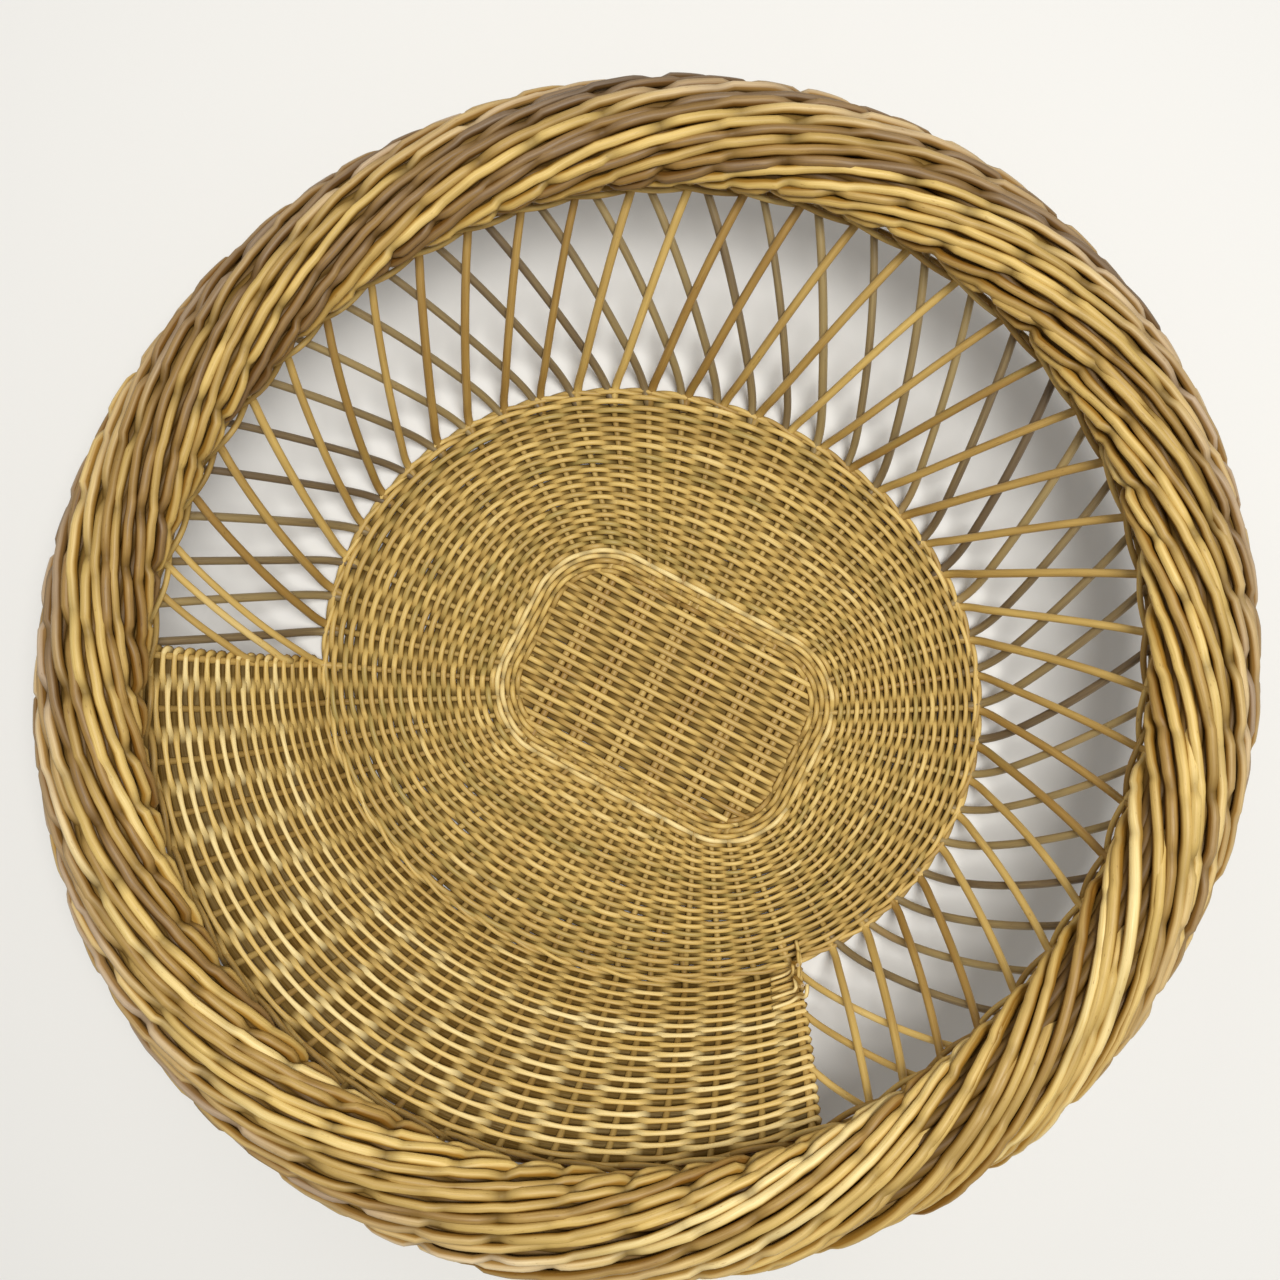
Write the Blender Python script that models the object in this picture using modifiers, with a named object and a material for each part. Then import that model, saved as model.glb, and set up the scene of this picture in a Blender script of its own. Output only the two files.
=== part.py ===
"""Wicker pet bed basket: woven oval base, open rod lattice with one dense woven panel, thick rolled border.

Metres, +Z up. The origin is on the underside, below the rim's centre. +X runs along the base's long axis, and the
dense panel is centred near -Y. Angles are degrees anticlockwise from +X, seen from above.
"""

import math

import bmesh
import bpy
from mathutils import Vector

# Rods, as diameters
STAKE = 0.0048
WEAVER = 0.0034
GAP = 0.0003

# Base: the edge is an oval, the mean radius plus and minus the stretch. Its centre is a little off the rim's
BASE_CENTRE = Vector((0.0066, -0.0058, 0.0))
BASE_RADIUS = 0.2115
BASE_STRETCH = 0.0145
BASE_STRETCH_ANGLE = 8.0
BASE_THICKNESS = STAKE + 1.5 * WEAVER
MAT_LENGTH = 0.222
MAT_WIDTH = 0.152
MAT_CORNER = 0.052
MAT_CENTRE = Vector((0.0182, -0.0080, 0.0))
MAT_CORNER_STEPS = 5

# Border: a ring of elliptical section, a little out of round
BORDER_RADIUS = 0.318
BORDER_STRETCH = 0.0075
BORDER_STRETCH_ANGLE = 62.0
BORDER_CENTRE_HEIGHT = 0.139
BORDER_HALF_WIDTH = 0.032
BORDER_HALF_HEIGHT = 0.027

# Wall middle surface, from its foot beside the base to its head under the border. It starts steep and flares
FOOT_OUTSET = 0.0040
FOOT_HEIGHT = 0.0085
FLARE_OUTSET = 0.0270
FLARE_HEIGHT = 0.0620
HEAD_INSET = 0.0180
HEAD_HEIGHT = 0.1080

# Stakes round the basket. The dense panel holds the first ones, the lattice pairs the others
STAKE_PLACES = 54
PANEL_PITCHES = 18
PANEL_START_ANGLE = 204.0
PITCH = 360.0 / STAKE_PLACES
PANEL_LEAN_START = 1.0
PANEL_LEAN_END = -6.5

# Lattice rods: how far each leans over the wall, and how that eases off beside the panel
INNER_LEAN = 1.75 * PITCH
OUTER_LEAN = 2.0 * PITCH
LEAN_POWER = 1.15
EDGE_EASE = 0.52
EDGE_EASE_PITCHES = 2.5
LAYER_OFFSET = 0.5 * STAKE + GAP
LAYER_RUN_UP = 0.12
PAIR_FOOT_SPREAD = 0.0035
FOOT_SHIFT = 2.2
FOOT_SHIFT_AXIS = 109.5
PAIR_FOOT_DROP = 0.0030
LEG_STATIONS = (0.0, 0.12, 0.35, 0.65, 1.0)
LEFT_CLIPPED_STARTS = (0.0, 0.25, 0.50)
RIGHT_CLIPPED_STARTS = (0.0, 0.33, 0.67)

# Dense panel
PANEL_THICKNESS = 0.0090
PANEL_BOTTOM = 0.07
PANEL_TOP = 0.96
PANEL_COLUMNS = 36
PANEL_ROWS = 5
STAKE_HOLE_CLEARANCE = 0.0004

# Wales, as rings inside the wall
WALE_ROD = 0.0050
WALE_STEPS = 54
FOOT_WALE_INSET = 0.0040
TOP_WALE_PLACE = 0.97
TOP_WALE_INSET = LAYER_OFFSET + 0.5 * STAKE + 0.5 * WALE_ROD + 2.0 * GAP

# Meshing
SLOPE_STEP = 0.01
WELD_DISTANCE = 0.00001
TUBE_RESOLUTION = 1
OVAL_STEPS = 54
BORDER_SEGMENTS = 54
BORDER_SIDES = 10


def clear_scene():
    for thing in list(bpy.data.objects):
        bpy.data.objects.remove(thing, do_unlink=True)


def new_collection(name):
    made = bpy.data.collections.new(name)
    bpy.context.scene.collection.children.link(made)
    return made


def make_material(name, colour, roughness):
    made = bpy.data.materials.new(name)
    made.use_nodes = True
    shader = made.node_tree.nodes["Principled BSDF"]
    shader.inputs["Base Color"].default_value = (*colour, 1.0)
    shader.inputs["Roughness"].default_value = roughness
    shader.inputs["Metallic"].default_value = 0.0
    return made


# The shape of the basket, as functions of the angle and of the place up the wall


def around(angle, radius, height):
    turn = math.radians(angle)
    return Vector((radius * math.cos(turn), radius * math.sin(turn), height))


def base_edge(angle):
    """Distance from the base's centre to the floor's oval edge."""
    swing = 2.0 * math.radians(angle - BASE_STRETCH_ANGLE)
    return BASE_RADIUS + BASE_STRETCH * math.cos(swing)


def border_line(angle):
    """Distance from the origin to the border's centre line."""
    swing = 2.0 * math.radians(angle - BORDER_STRETCH_ANGLE)
    return BORDER_RADIUS + BORDER_STRETCH * math.cos(swing)


def wall_profile(angle, place):
    """Radius and height of the wall's middle surface. Place is 0 at the foot and 1 at the head.

    The radius is measured from a centre that moves from the base's centre to the rim's, see wall_centre.
    """
    foot = Vector((base_edge(angle) + FOOT_OUTSET, FOOT_HEIGHT))
    flare = Vector((base_edge(angle) + FLARE_OUTSET, FLARE_HEIGHT))
    head = Vector((border_line(angle) - HEAD_INSET, HEAD_HEIGHT))
    rest = 1.0 - place
    return foot * rest * rest + flare * 2.0 * rest * place + head * place * place


def wall_centre(place):
    return BASE_CENTRE * (1.0 - place * place)


def wall_point(angle, place, outward=0.0):
    """A point of the wall, moved out from the middle surface by outward."""
    here = wall_profile(angle, place)
    above = wall_profile(angle, place + SLOPE_STEP)
    below = wall_profile(angle, place - SLOPE_STEP)
    rise = (above - below).normalized()
    radius = here.x + rise.y * outward
    height = here.y - rise.x * outward
    return wall_centre(place) + around(angle, radius, height)


def panel_stake_angle(index, place):
    """Angle of a stake of the dense panel. Index is 0 at the left edge and PANEL_PITCHES at the right edge."""
    share = index / PANEL_PITCHES
    lean = PANEL_LEAN_START + (PANEL_LEAN_END - PANEL_LEAN_START) * share
    return PANEL_START_ANGLE + index * PITCH + lean * place


def lattice_lean(full_lean, pitches_from_panel):
    """Lean of a rod that leans towards the panel, less for the rods beside it."""
    ease = EDGE_EASE * math.exp(-(pitches_from_panel - 1.0) / EDGE_EASE_PITCHES)
    return full_lean * (1.0 - ease)


def lean_share(place):
    """Share of its lean that a lattice rod has reached at a place up the wall."""
    return place**LEAN_POWER


def foot_shift(angle):
    """Turn of a lattice pair's foot from its even place, because the oval floor spreads the feet."""
    return FOOT_SHIFT * math.sin(2.0 * math.radians(angle - FOOT_SHIFT_AXIS))


def layer_share(run):
    """How far a rod has moved from the middle surface into its own layer."""
    return min(1.0, run / LAYER_RUN_UP)


# Making objects


def add_object(name, data, material, collection):
    made = bpy.data.objects.new(name, data)
    data.materials.append(material)
    collection.objects.link(made)
    return made


def make_rod(name, points, diameter, material, collection, closed=False):
    """A round rod through the points, as a bevelled POLY curve with filled caps."""
    curve = bpy.data.curves.new(name, "CURVE")
    curve.dimensions = "3D"
    curve.bevel_depth = 0.5 * diameter
    curve.bevel_resolution = TUBE_RESOLUTION
    curve.resolution_u = 1
    curve.render_resolution_u = 0
    curve.use_fill_caps = not closed
    line = curve.splines.new("POLY")
    line.points.add(len(points) - 1)
    for spline_point, place in zip(line.points, points):
        spline_point.co = (*place, 1.0)
    line.use_cyclic_u = closed
    return add_object(name, curve, material, collection)


def mesh_from_curve(rod, material, collection):
    """The rod as a mesh object with welded caps, for a Boolean."""
    name = rod.name
    bpy.context.view_layer.update()
    evaluated = rod.evaluated_get(bpy.context.evaluated_depsgraph_get())
    mesh = bpy.data.meshes.new_from_object(evaluated)
    placed = rod.matrix_world.copy()
    bpy.data.objects.remove(rod, do_unlink=True)
    shape = bmesh.new()
    shape.from_mesh(mesh)
    bmesh.ops.remove_doubles(shape, verts=shape.verts, dist=WELD_DISTANCE)
    shape.to_mesh(mesh)
    shape.free()
    mesh.name = name
    mesh.materials.clear()
    made = add_object(name, mesh, material, collection)
    made.matrix_world = placed
    return made


def combine(target, tool, operation):
    step = target.modifiers.new(tool.name, "BOOLEAN")
    step.operation = operation
    step.solver = "EXACT"
    step.object = tool


def hide_as_tool(thing):
    thing.hide_render = True
    thing.display_type = "WIRE"


def base_ring(count, inset, height):
    """Points round the base, inside its edge by inset."""
    points = []
    for step in range(count):
        angle = 360.0 * step / count
        points.append(BASE_CENTRE + around(angle, base_edge(angle) - inset, height))
    return points


def add_outline(curve, points):
    line = curve.splines.new("POLY")
    line.points.add(len(points) - 1)
    for spline_point, place in zip(line.points, points):
        spline_point.co = (place.x, place.y, 0.0, 1.0)
    line.use_cyclic_u = True


def make_plate(name, outlines, thickness, material, collection):
    """A flat plate from closed outlines, its underside on the ground. An inner outline is a hole."""
    curve = bpy.data.curves.new(name, "CURVE")
    curve.dimensions = "2D"
    curve.fill_mode = "BOTH"
    curve.extrude = 0.5 * thickness
    curve.render_resolution_u = 0
    for points in outlines:
        add_outline(curve, points)
    made = add_object(name, curve, material, collection)
    made.location.z = 0.5 * thickness
    return made


# Base


def mat_outline(inset):
    """Rounded rectangle of the centre mat, made smaller by inset."""
    radius = MAT_CORNER - inset
    half_x = 0.5 * MAT_LENGTH - MAT_CORNER
    half_y = 0.5 * MAT_WIDTH - MAT_CORNER
    points = []
    for corner, (side_x, side_y) in enumerate(((1, 1), (-1, 1), (-1, -1), (1, -1))):
        for step in range(MAT_CORNER_STEPS + 1):
            turn = math.radians(90.0 * (corner + step / MAT_CORNER_STEPS))
            x = side_x * half_x + radius * math.cos(turn)
            y = side_y * half_y + radius * math.sin(turn)
            points.append(MAT_CENTRE + Vector((x, y, 0.0)))
    return points


def build_base(materials, parts):
    make_plate("base_centre_mat", [mat_outline(GAP)], BASE_THICKNESS, materials["mat"], parts)
    edge = base_ring(OVAL_STEPS, 0.0, 0.0)
    make_plate("base_weave", [edge, mat_outline(0.0)], BASE_THICKNESS, materials["weave"], parts)


def build_foot_wale(materials, parts):
    height = BASE_THICKNESS + 0.5 * WALE_ROD + GAP
    points = base_ring(WALE_STEPS, FOOT_WALE_INSET, height)
    make_rod("foot_wale", points, WALE_ROD, materials["wale"], parts, closed=True)


# Lattice


def lean_path(start_angle, lean, layer, start=0.0):
    """Points of a rod leaning up the wall. Layer is -1 on the inside and 1 on the outside."""
    points = []
    for station in LEG_STATIONS:
        place = start + (1.0 - start) * station
        outward = layer * LAYER_OFFSET * layer_share(place - start)
        turn = lean * (lean_share(place) - lean_share(start))
        points.append(wall_point(start_angle + turn, place, outward))
    return points


def build_lattice_pair(number, angle, inner_lean, outer_lean, materials, parts):
    """Two rods from one place: the inner one leans clockwise and the outer one anticlockwise."""
    spread = math.degrees(PAIR_FOOT_SPREAD / base_edge(angle))
    inner = lean_path(angle - spread, spread - inner_lean, -1.0)
    outer = lean_path(angle + spread, outer_lean - spread, 1.0)
    drop = (inner[0] - inner[1]).normalized() + (outer[0] - outer[1]).normalized()
    bend = 0.5 * (inner[0] + outer[0]) + drop.normalized() * PAIR_FOOT_DROP
    points = list(reversed(inner)) + [bend] + outer
    make_rod(f"lattice_pair_{number:02d}", points, STAKE, materials["lattice"], parts)


def build_lattice(materials, parts):
    pairs = STAKE_PLACES - PANEL_PITCHES - 1
    for number in range(1, pairs + 1):
        angle = PANEL_START_ANGLE + (PANEL_PITCHES + number) * PITCH
        shift = foot_shift(angle)
        inner_lean = lattice_lean(INNER_LEAN, number) + shift
        outer_lean = lattice_lean(OUTER_LEAN, pairs + 1 - number) - shift
        build_lattice_pair(number, angle + shift, inner_lean, outer_lean, materials, parts)


# Dense panel


def panel_stake_path(index, start=0.0, end=1.0):
    points = []
    for station in LEG_STATIONS:
        place = start + (end - start) * station
        points.append(wall_point(panel_stake_angle(index, place), place))
    return points


def build_edge_stake(name, index, starts, lean, layer, materials, parts, tools):
    """A stake at the panel's edge, joined to the lattice rods that start from it."""
    stake = make_rod(name, panel_stake_path(index), STAKE, materials["stake"], parts)
    stake = mesh_from_curve(stake, materials["stake"], parts)
    for number, start in enumerate(starts, 1):
        angle = panel_stake_angle(index, start)
        path = lean_path(angle, lean, layer, start)
        rod = make_rod(f"{name}_branch_{number}", path, STAKE, materials["lattice"], tools)
        rod = mesh_from_curve(rod, materials["lattice"], tools)
        hide_as_tool(rod)
        combine(stake, rod, "UNION")


def panel_surface(name, material, collection):
    """The panel's middle surface between its two edge stakes, as a grid laid on the wall."""
    shape = bmesh.new()
    bmesh.ops.create_grid(shape, x_segments=PANEL_COLUMNS, y_segments=PANEL_ROWS, size=0.5)
    edge_room = STAKE + GAP
    for vert in shape.verts:
        place = PANEL_BOTTOM + (PANEL_TOP - PANEL_BOTTOM) * (vert.co.y + 0.5)
        left = panel_stake_angle(0, place)
        right = panel_stake_angle(PANEL_PITCHES, place)
        margin = math.degrees(edge_room / wall_profile(left, place).x)
        angle = left + margin + (right - left - 2.0 * margin) * (vert.co.x + 0.5)
        vert.co = wall_point(angle, place)
    mesh = bpy.data.meshes.new(name)
    shape.to_mesh(mesh)
    shape.free()
    return add_object(name, mesh, material, collection)


def build_panel(materials, parts, tools):
    panel = panel_surface("front_weave", materials["weave"], parts)
    shell = panel.modifiers.new("thickness", "SOLIDIFY")
    shell.thickness = PANEL_THICKNESS
    shell.offset = 0.0
    hole = STAKE + 2.0 * STAKE_HOLE_CLEARANCE
    for index in range(1, PANEL_PITCHES):
        make_rod(f"front_stake_{index:02d}", panel_stake_path(index), STAKE, materials["stake"], parts)
        path = panel_stake_path(index)
        cutter = make_rod(f"stake_hole_{index:02d}", path, hole, materials["stake"], tools)
        cutter = mesh_from_curve(cutter, materials["stake"], tools)
        hide_as_tool(cutter)
        combine(panel, cutter, "DIFFERENCE")


# Top


def build_top_wale(materials, parts):
    points = []
    for step in range(WALE_STEPS):
        angle = 360.0 * step / WALE_STEPS
        points.append(wall_point(angle, TOP_WALE_PLACE, -TOP_WALE_INSET))
    make_rod("top_wale", points, WALE_ROD, materials["wale"], parts, closed=True)


def build_border(materials, parts):
    """A torus flattened to the roll's section and drawn out to the rim's shape."""
    bpy.ops.mesh.primitive_torus_add(
        major_segments=BORDER_SEGMENTS,
        minor_segments=BORDER_SIDES,
        major_radius=BORDER_RADIUS,
        minor_radius=BORDER_HALF_WIDTH,
    )
    border = bpy.context.object
    border.name = "border"
    for vert in border.data.vertices:
        radius = math.hypot(vert.co.x, vert.co.y)
        angle = math.degrees(math.atan2(vert.co.y, vert.co.x))
        height = vert.co.z * BORDER_HALF_HEIGHT / BORDER_HALF_WIDTH
        vert.co = around(angle, radius + border_line(angle) - BORDER_RADIUS, height)
    border.location.z = BORDER_CENTRE_HEIGHT
    border.data.materials.append(materials["border"])
    border.data.shade_smooth()
    for holder in list(border.users_collection):
        holder.objects.unlink(border)
    parts.objects.link(border)


def main():
    clear_scene()
    parts = new_collection("wicker_pet_bed_basket")
    tools = new_collection("cutters")
    materials = {
        "mat": make_material("centre mat rods", (0.46, 0.33, 0.15), 0.55),
        "weave": make_material("woven thin rods", (0.50, 0.38, 0.19), 0.60),
        "wale": make_material("wale rods", (0.48, 0.35, 0.17), 0.55),
        "lattice": make_material("lattice rods", (0.45, 0.30, 0.12), 0.50),
        "stake": make_material("stake rods", (0.42, 0.29, 0.13), 0.55),
        "border": make_material("border rods", (0.52, 0.35, 0.13), 0.45),
    }
    build_base(materials, parts)
    build_foot_wale(materials, parts)
    build_lattice(materials, parts)
    build_edge_stake("left_edge_stake", 0, LEFT_CLIPPED_STARTS, -INNER_LEAN, -1.0, materials, parts, tools)
    build_edge_stake(
        "right_edge_stake", PANEL_PITCHES, RIGHT_CLIPPED_STARTS, OUTER_LEAN, 1.0, materials, parts, tools
    )
    build_panel(materials, parts, tools)
    build_top_wale(materials, parts)
    build_border(materials, parts)


main()
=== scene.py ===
"""Wicker pet bed basket: every rod of the floor, the dense panel, the open lattice and the rolled border.

Metres, +Z up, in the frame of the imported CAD. Angles are degrees anticlockwise from +X, seen from above.
"""

import math

import bpy
import numpy as np
from mathutils import Matrix, Vector


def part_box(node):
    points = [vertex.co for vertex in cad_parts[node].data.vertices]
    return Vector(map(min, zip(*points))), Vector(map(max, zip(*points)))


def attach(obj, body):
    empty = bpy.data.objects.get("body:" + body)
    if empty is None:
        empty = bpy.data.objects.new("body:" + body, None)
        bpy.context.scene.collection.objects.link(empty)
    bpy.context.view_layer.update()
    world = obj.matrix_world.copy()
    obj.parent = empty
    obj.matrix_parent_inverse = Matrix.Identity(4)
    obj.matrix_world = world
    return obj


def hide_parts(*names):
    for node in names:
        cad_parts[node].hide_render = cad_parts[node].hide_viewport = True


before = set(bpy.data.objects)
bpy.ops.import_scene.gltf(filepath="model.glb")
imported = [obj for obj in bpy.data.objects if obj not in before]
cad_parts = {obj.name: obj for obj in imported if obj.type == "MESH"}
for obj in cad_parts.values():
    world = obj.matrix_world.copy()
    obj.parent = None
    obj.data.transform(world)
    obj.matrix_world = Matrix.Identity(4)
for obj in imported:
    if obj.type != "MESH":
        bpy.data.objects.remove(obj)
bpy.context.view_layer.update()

# ---------------- design constants, the same as in part.py

STAKE = 0.0048
GAP = 0.0003
BASE_STRETCH = 0.0145
BASE_STRETCH_ANGLE = 8.0
MAT_CORNER = 0.052
BORDER_STRETCH = 0.0075
BORDER_STRETCH_ANGLE = 62.0
BORDER_HALF_WIDTH = 0.032
FOOT_OUTSET = 0.0040
FOOT_HEIGHT = 0.0085
FLARE_OUTSET = 0.0270
FLARE_HEIGHT = 0.0620
HEAD_INSET = 0.0180
HEAD_HEIGHT = 0.1080
STAKE_PLACES = 54
PANEL_PITCHES = 18
PANEL_START_ANGLE = 204.0
PITCH = 360.0 / STAKE_PLACES
PANEL_LEAN_START = 1.0
PANEL_LEAN_END = -6.5
INNER_LEAN = 1.75 * PITCH
OUTER_LEAN = 2.0 * PITCH
LEAN_POWER = 1.15
EDGE_EASE = 0.52
EDGE_EASE_PITCHES = 2.5
LAYER_OFFSET = 0.5 * STAKE + GAP
LAYER_RUN_UP = 0.12
PAIR_FOOT_SPREAD = 0.0035
FOOT_SHIFT = 2.2
FOOT_SHIFT_AXIS = 109.5
LEFT_CLIPPED_STARTS = (0.0, 0.25, 0.50)
RIGHT_CLIPPED_STARTS = (0.0, 0.33, 0.67)
SLOPE_STEP = 0.01


def middle(node):
    low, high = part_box(node)
    return 0.5 * (low + high)


def half_size(node):
    low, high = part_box(node)
    return 0.5 * (high - low)


# Sizes read from the CAD boxes
BASE_MIDDLE = middle("base_weave").z
BASE_RADIUS = 0.5 * (half_size("base_weave").x + half_size("base_weave").y)
BASE_CENTRE = np.array([middle("base_weave").x, middle("base_weave").y, 0.0])
MAT_MIDDLE = middle("base_centre_mat")
MAT_HALF_LENGTH = half_size("base_centre_mat").x + GAP
MAT_HALF_WIDTH = half_size("base_centre_mat").y + GAP
BORDER_MIDDLE = middle("border").z
BORDER_HALF_HEIGHT = half_size("border").z
BORDER_RADIUS = 0.5 * (half_size("border").x + half_size("border").y) - BORDER_HALF_WIDTH

UP = np.array([0.0, 0.0, 1.0])
ANY_PHASE = (0.0, 6.28)
LEAST_CORNER = 0.004
OUTLINE_STEP = 3.0
SPLINE_STEPS = 12
NEARLY_PARALLEL = 0.9


# ---------------- the basket's shape


def around(angle, radius, height):
    """Points from an angle, a distance from the middle and a height, which may be arrays."""
    turn = np.radians(angle)
    height = np.zeros_like(turn) + height
    return np.stack([radius * np.cos(turn), radius * np.sin(turn), height], axis=-1)


def base_edge(angle):
    """Distance from the base's centre to the floor's oval edge."""
    return BASE_RADIUS + BASE_STRETCH * np.cos(2.0 * np.radians(angle - BASE_STRETCH_ANGLE))


def border_line(angle):
    """Distance from the middle to the border's centre line."""
    return BORDER_RADIUS + BORDER_STRETCH * np.cos(2.0 * np.radians(angle - BORDER_STRETCH_ANGLE))


def wall_profile(angle, place):
    """Radius and height of the wall's middle surface. Place is 0 at the foot and 1 at the head."""
    rest = 1.0 - place
    foot = base_edge(angle) + FOOT_OUTSET
    flare = base_edge(angle) + FLARE_OUTSET
    head = border_line(angle) - HEAD_INSET
    radius = foot * rest * rest + flare * 2.0 * rest * place + head * place * place
    height = FOOT_HEIGHT * rest * rest + FLARE_HEIGHT * 2.0 * rest * place + HEAD_HEIGHT * place * place
    return radius, height


def wall_frame(angle, place):
    """A wall point's radius and height, and the wall's slope there as a unit step in radius and in height."""
    radius, height = wall_profile(angle, place)
    radius_above, height_above = wall_profile(angle, place + SLOPE_STEP)
    radius_below, height_below = wall_profile(angle, place - SLOPE_STEP)
    out = radius_above - radius_below
    rise = height_above - height_below
    length = np.hypot(out, rise)
    return radius, height, out / length, rise / length


def base_point(angle, radius, height):
    """A point measured from the base's centre, which is a little off the rim's."""
    return BASE_CENTRE + around(angle, radius, height)


def wall_point(angle, place, outward=0.0):
    """A point on the wall. Its radius is measured from a centre that moves from the base's to the rim's."""
    radius, height, out, rise = wall_frame(angle, place)
    base_share = np.asarray(1.0 - np.square(place))[..., None]
    return base_share * BASE_CENTRE + around(angle, radius + rise * outward, height - out * outward)


def wall_outward(angle, place):
    """The wall's outward direction."""
    _, _, out, rise = wall_frame(angle, place)
    return around(angle, rise, -out)


def panel_stake_angle(index, place):
    share = index / PANEL_PITCHES
    lean = PANEL_LEAN_START + (PANEL_LEAN_END - PANEL_LEAN_START) * share
    return PANEL_START_ANGLE + index * PITCH + lean * place


def lattice_lean(full_lean, pitches_from_panel):
    """Lean of a rod that leans towards the panel, less for the rods beside it."""
    ease = EDGE_EASE * math.exp(-(pitches_from_panel - 1.0) / EDGE_EASE_PITCHES)
    return full_lean * (1.0 - ease)


def lean_share(place):
    """Share of its lean that a lattice rod has reached at a place up the wall."""
    return place**LEAN_POWER


def foot_shift(angle):
    """Turn of a lattice pair's foot from its even place, because the oval floor spreads the feet."""
    return FOOT_SHIFT * np.sin(2.0 * np.radians(angle - FOOT_SHIFT_AXIS))


def foot_angle(steps):
    """Angle of a stake place round the floor. Steps counts pitches from the panel's left edge."""
    even = PANEL_START_ANGLE + steps * PITCH
    into_lattice = np.minimum(steps - PANEL_PITCHES, STAKE_PLACES - steps)
    return even + np.clip(into_lattice, 0.0, 1.0) * foot_shift(even)


def mat_outline(inset, share):
    """Points of the mat's outline, made smaller by inset. Share runs anticlockwise from +X, 0 to 1."""
    corner = max(MAT_CORNER - inset, LEAST_CORNER)
    half_x = MAT_HALF_LENGTH - inset - corner
    half_y = MAT_HALF_WIDTH - inset - corner
    turns = np.radians(np.arange(0.0, 360.0, OUTLINE_STEP))
    side_x = np.where(np.cos(turns) >= 0.0, 1.0, -1.0)
    side_y = np.where(np.sin(turns) >= 0.0, 1.0, -1.0)
    x = side_x * half_x + corner * np.cos(turns)
    y = side_y * half_y + corner * np.sin(turns)
    x = np.concatenate([[half_x + corner], x[1:], [half_x + corner]])
    y = np.concatenate([[0.0], y[1:], [0.0]])
    length = np.concatenate([[0.0], np.cumsum(np.hypot(np.diff(x), np.diff(y)))])
    length /= length[-1]
    share = np.mod(share, 1.0)
    x = np.interp(share, length, x) + MAT_MIDDLE.x
    y = np.interp(share, length, y) + MAT_MIDDLE.y
    return np.stack([x, y, np.zeros_like(x)], axis=-1)


def smooth_path(points, count):
    """A Catmull-Rom curve through the points, resampled evenly."""
    points = np.asarray(points, float)
    padded = np.vstack([2.0 * points[0] - points[1], points, 2.0 * points[-1] - points[-2]])
    step = np.linspace(0.0, 1.0, SPLINE_STEPS, endpoint=False)[:, None]
    pieces = []
    for before, here, there, after in zip(padded, padded[1:], padded[2:], padded[3:]):
        cubic = (
            2.0 * here
            + (there - before) * step
            + (2.0 * before - 5.0 * here + 4.0 * there - after) * step**2
            + (3.0 * here - before - 3.0 * there + after) * step**3
        )
        pieces.append(0.5 * cubic)
    fine = np.vstack(pieces + [points[-1:]])
    length = np.concatenate([[0.0], np.cumsum(np.linalg.norm(np.diff(fine, axis=0), axis=1))])
    even = np.linspace(0.0, length[-1], count)
    return np.stack([np.interp(even, length, fine[:, axis]) for axis in range(3)], axis=-1)


# ---------------- rods as meshes


def unit(vectors):
    return vectors / np.linalg.norm(vectors, axis=-1, keepdims=True)


def carried_frame(tangents):
    """A side direction carried along the path without twist."""
    start = UP
    if abs(tangents[0] @ start) > NEARLY_PARALLEL:
        start = np.array([1.0, 0.0, 0.0])
    side = unit(np.cross(tangents[0], start))
    sides = []
    for tangent in tangents:
        side = unit(side - tangent * (side @ tangent))
        sides.append(side)
    return np.array(sides)


# Share of a sunk rod's painted shade that also falls on its flanks
SUNK_FLANK_SHADE = 0.4
ROD_SIDES = 8
# The values at each vertex, by column: its place in the rod's own space, then what the rod materials read
ALONG, SIDEWAYS, OUTWARD, TONE, SEED, PAINTED_SHADE, GREY = range(7)
COLUMNS = 7


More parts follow.
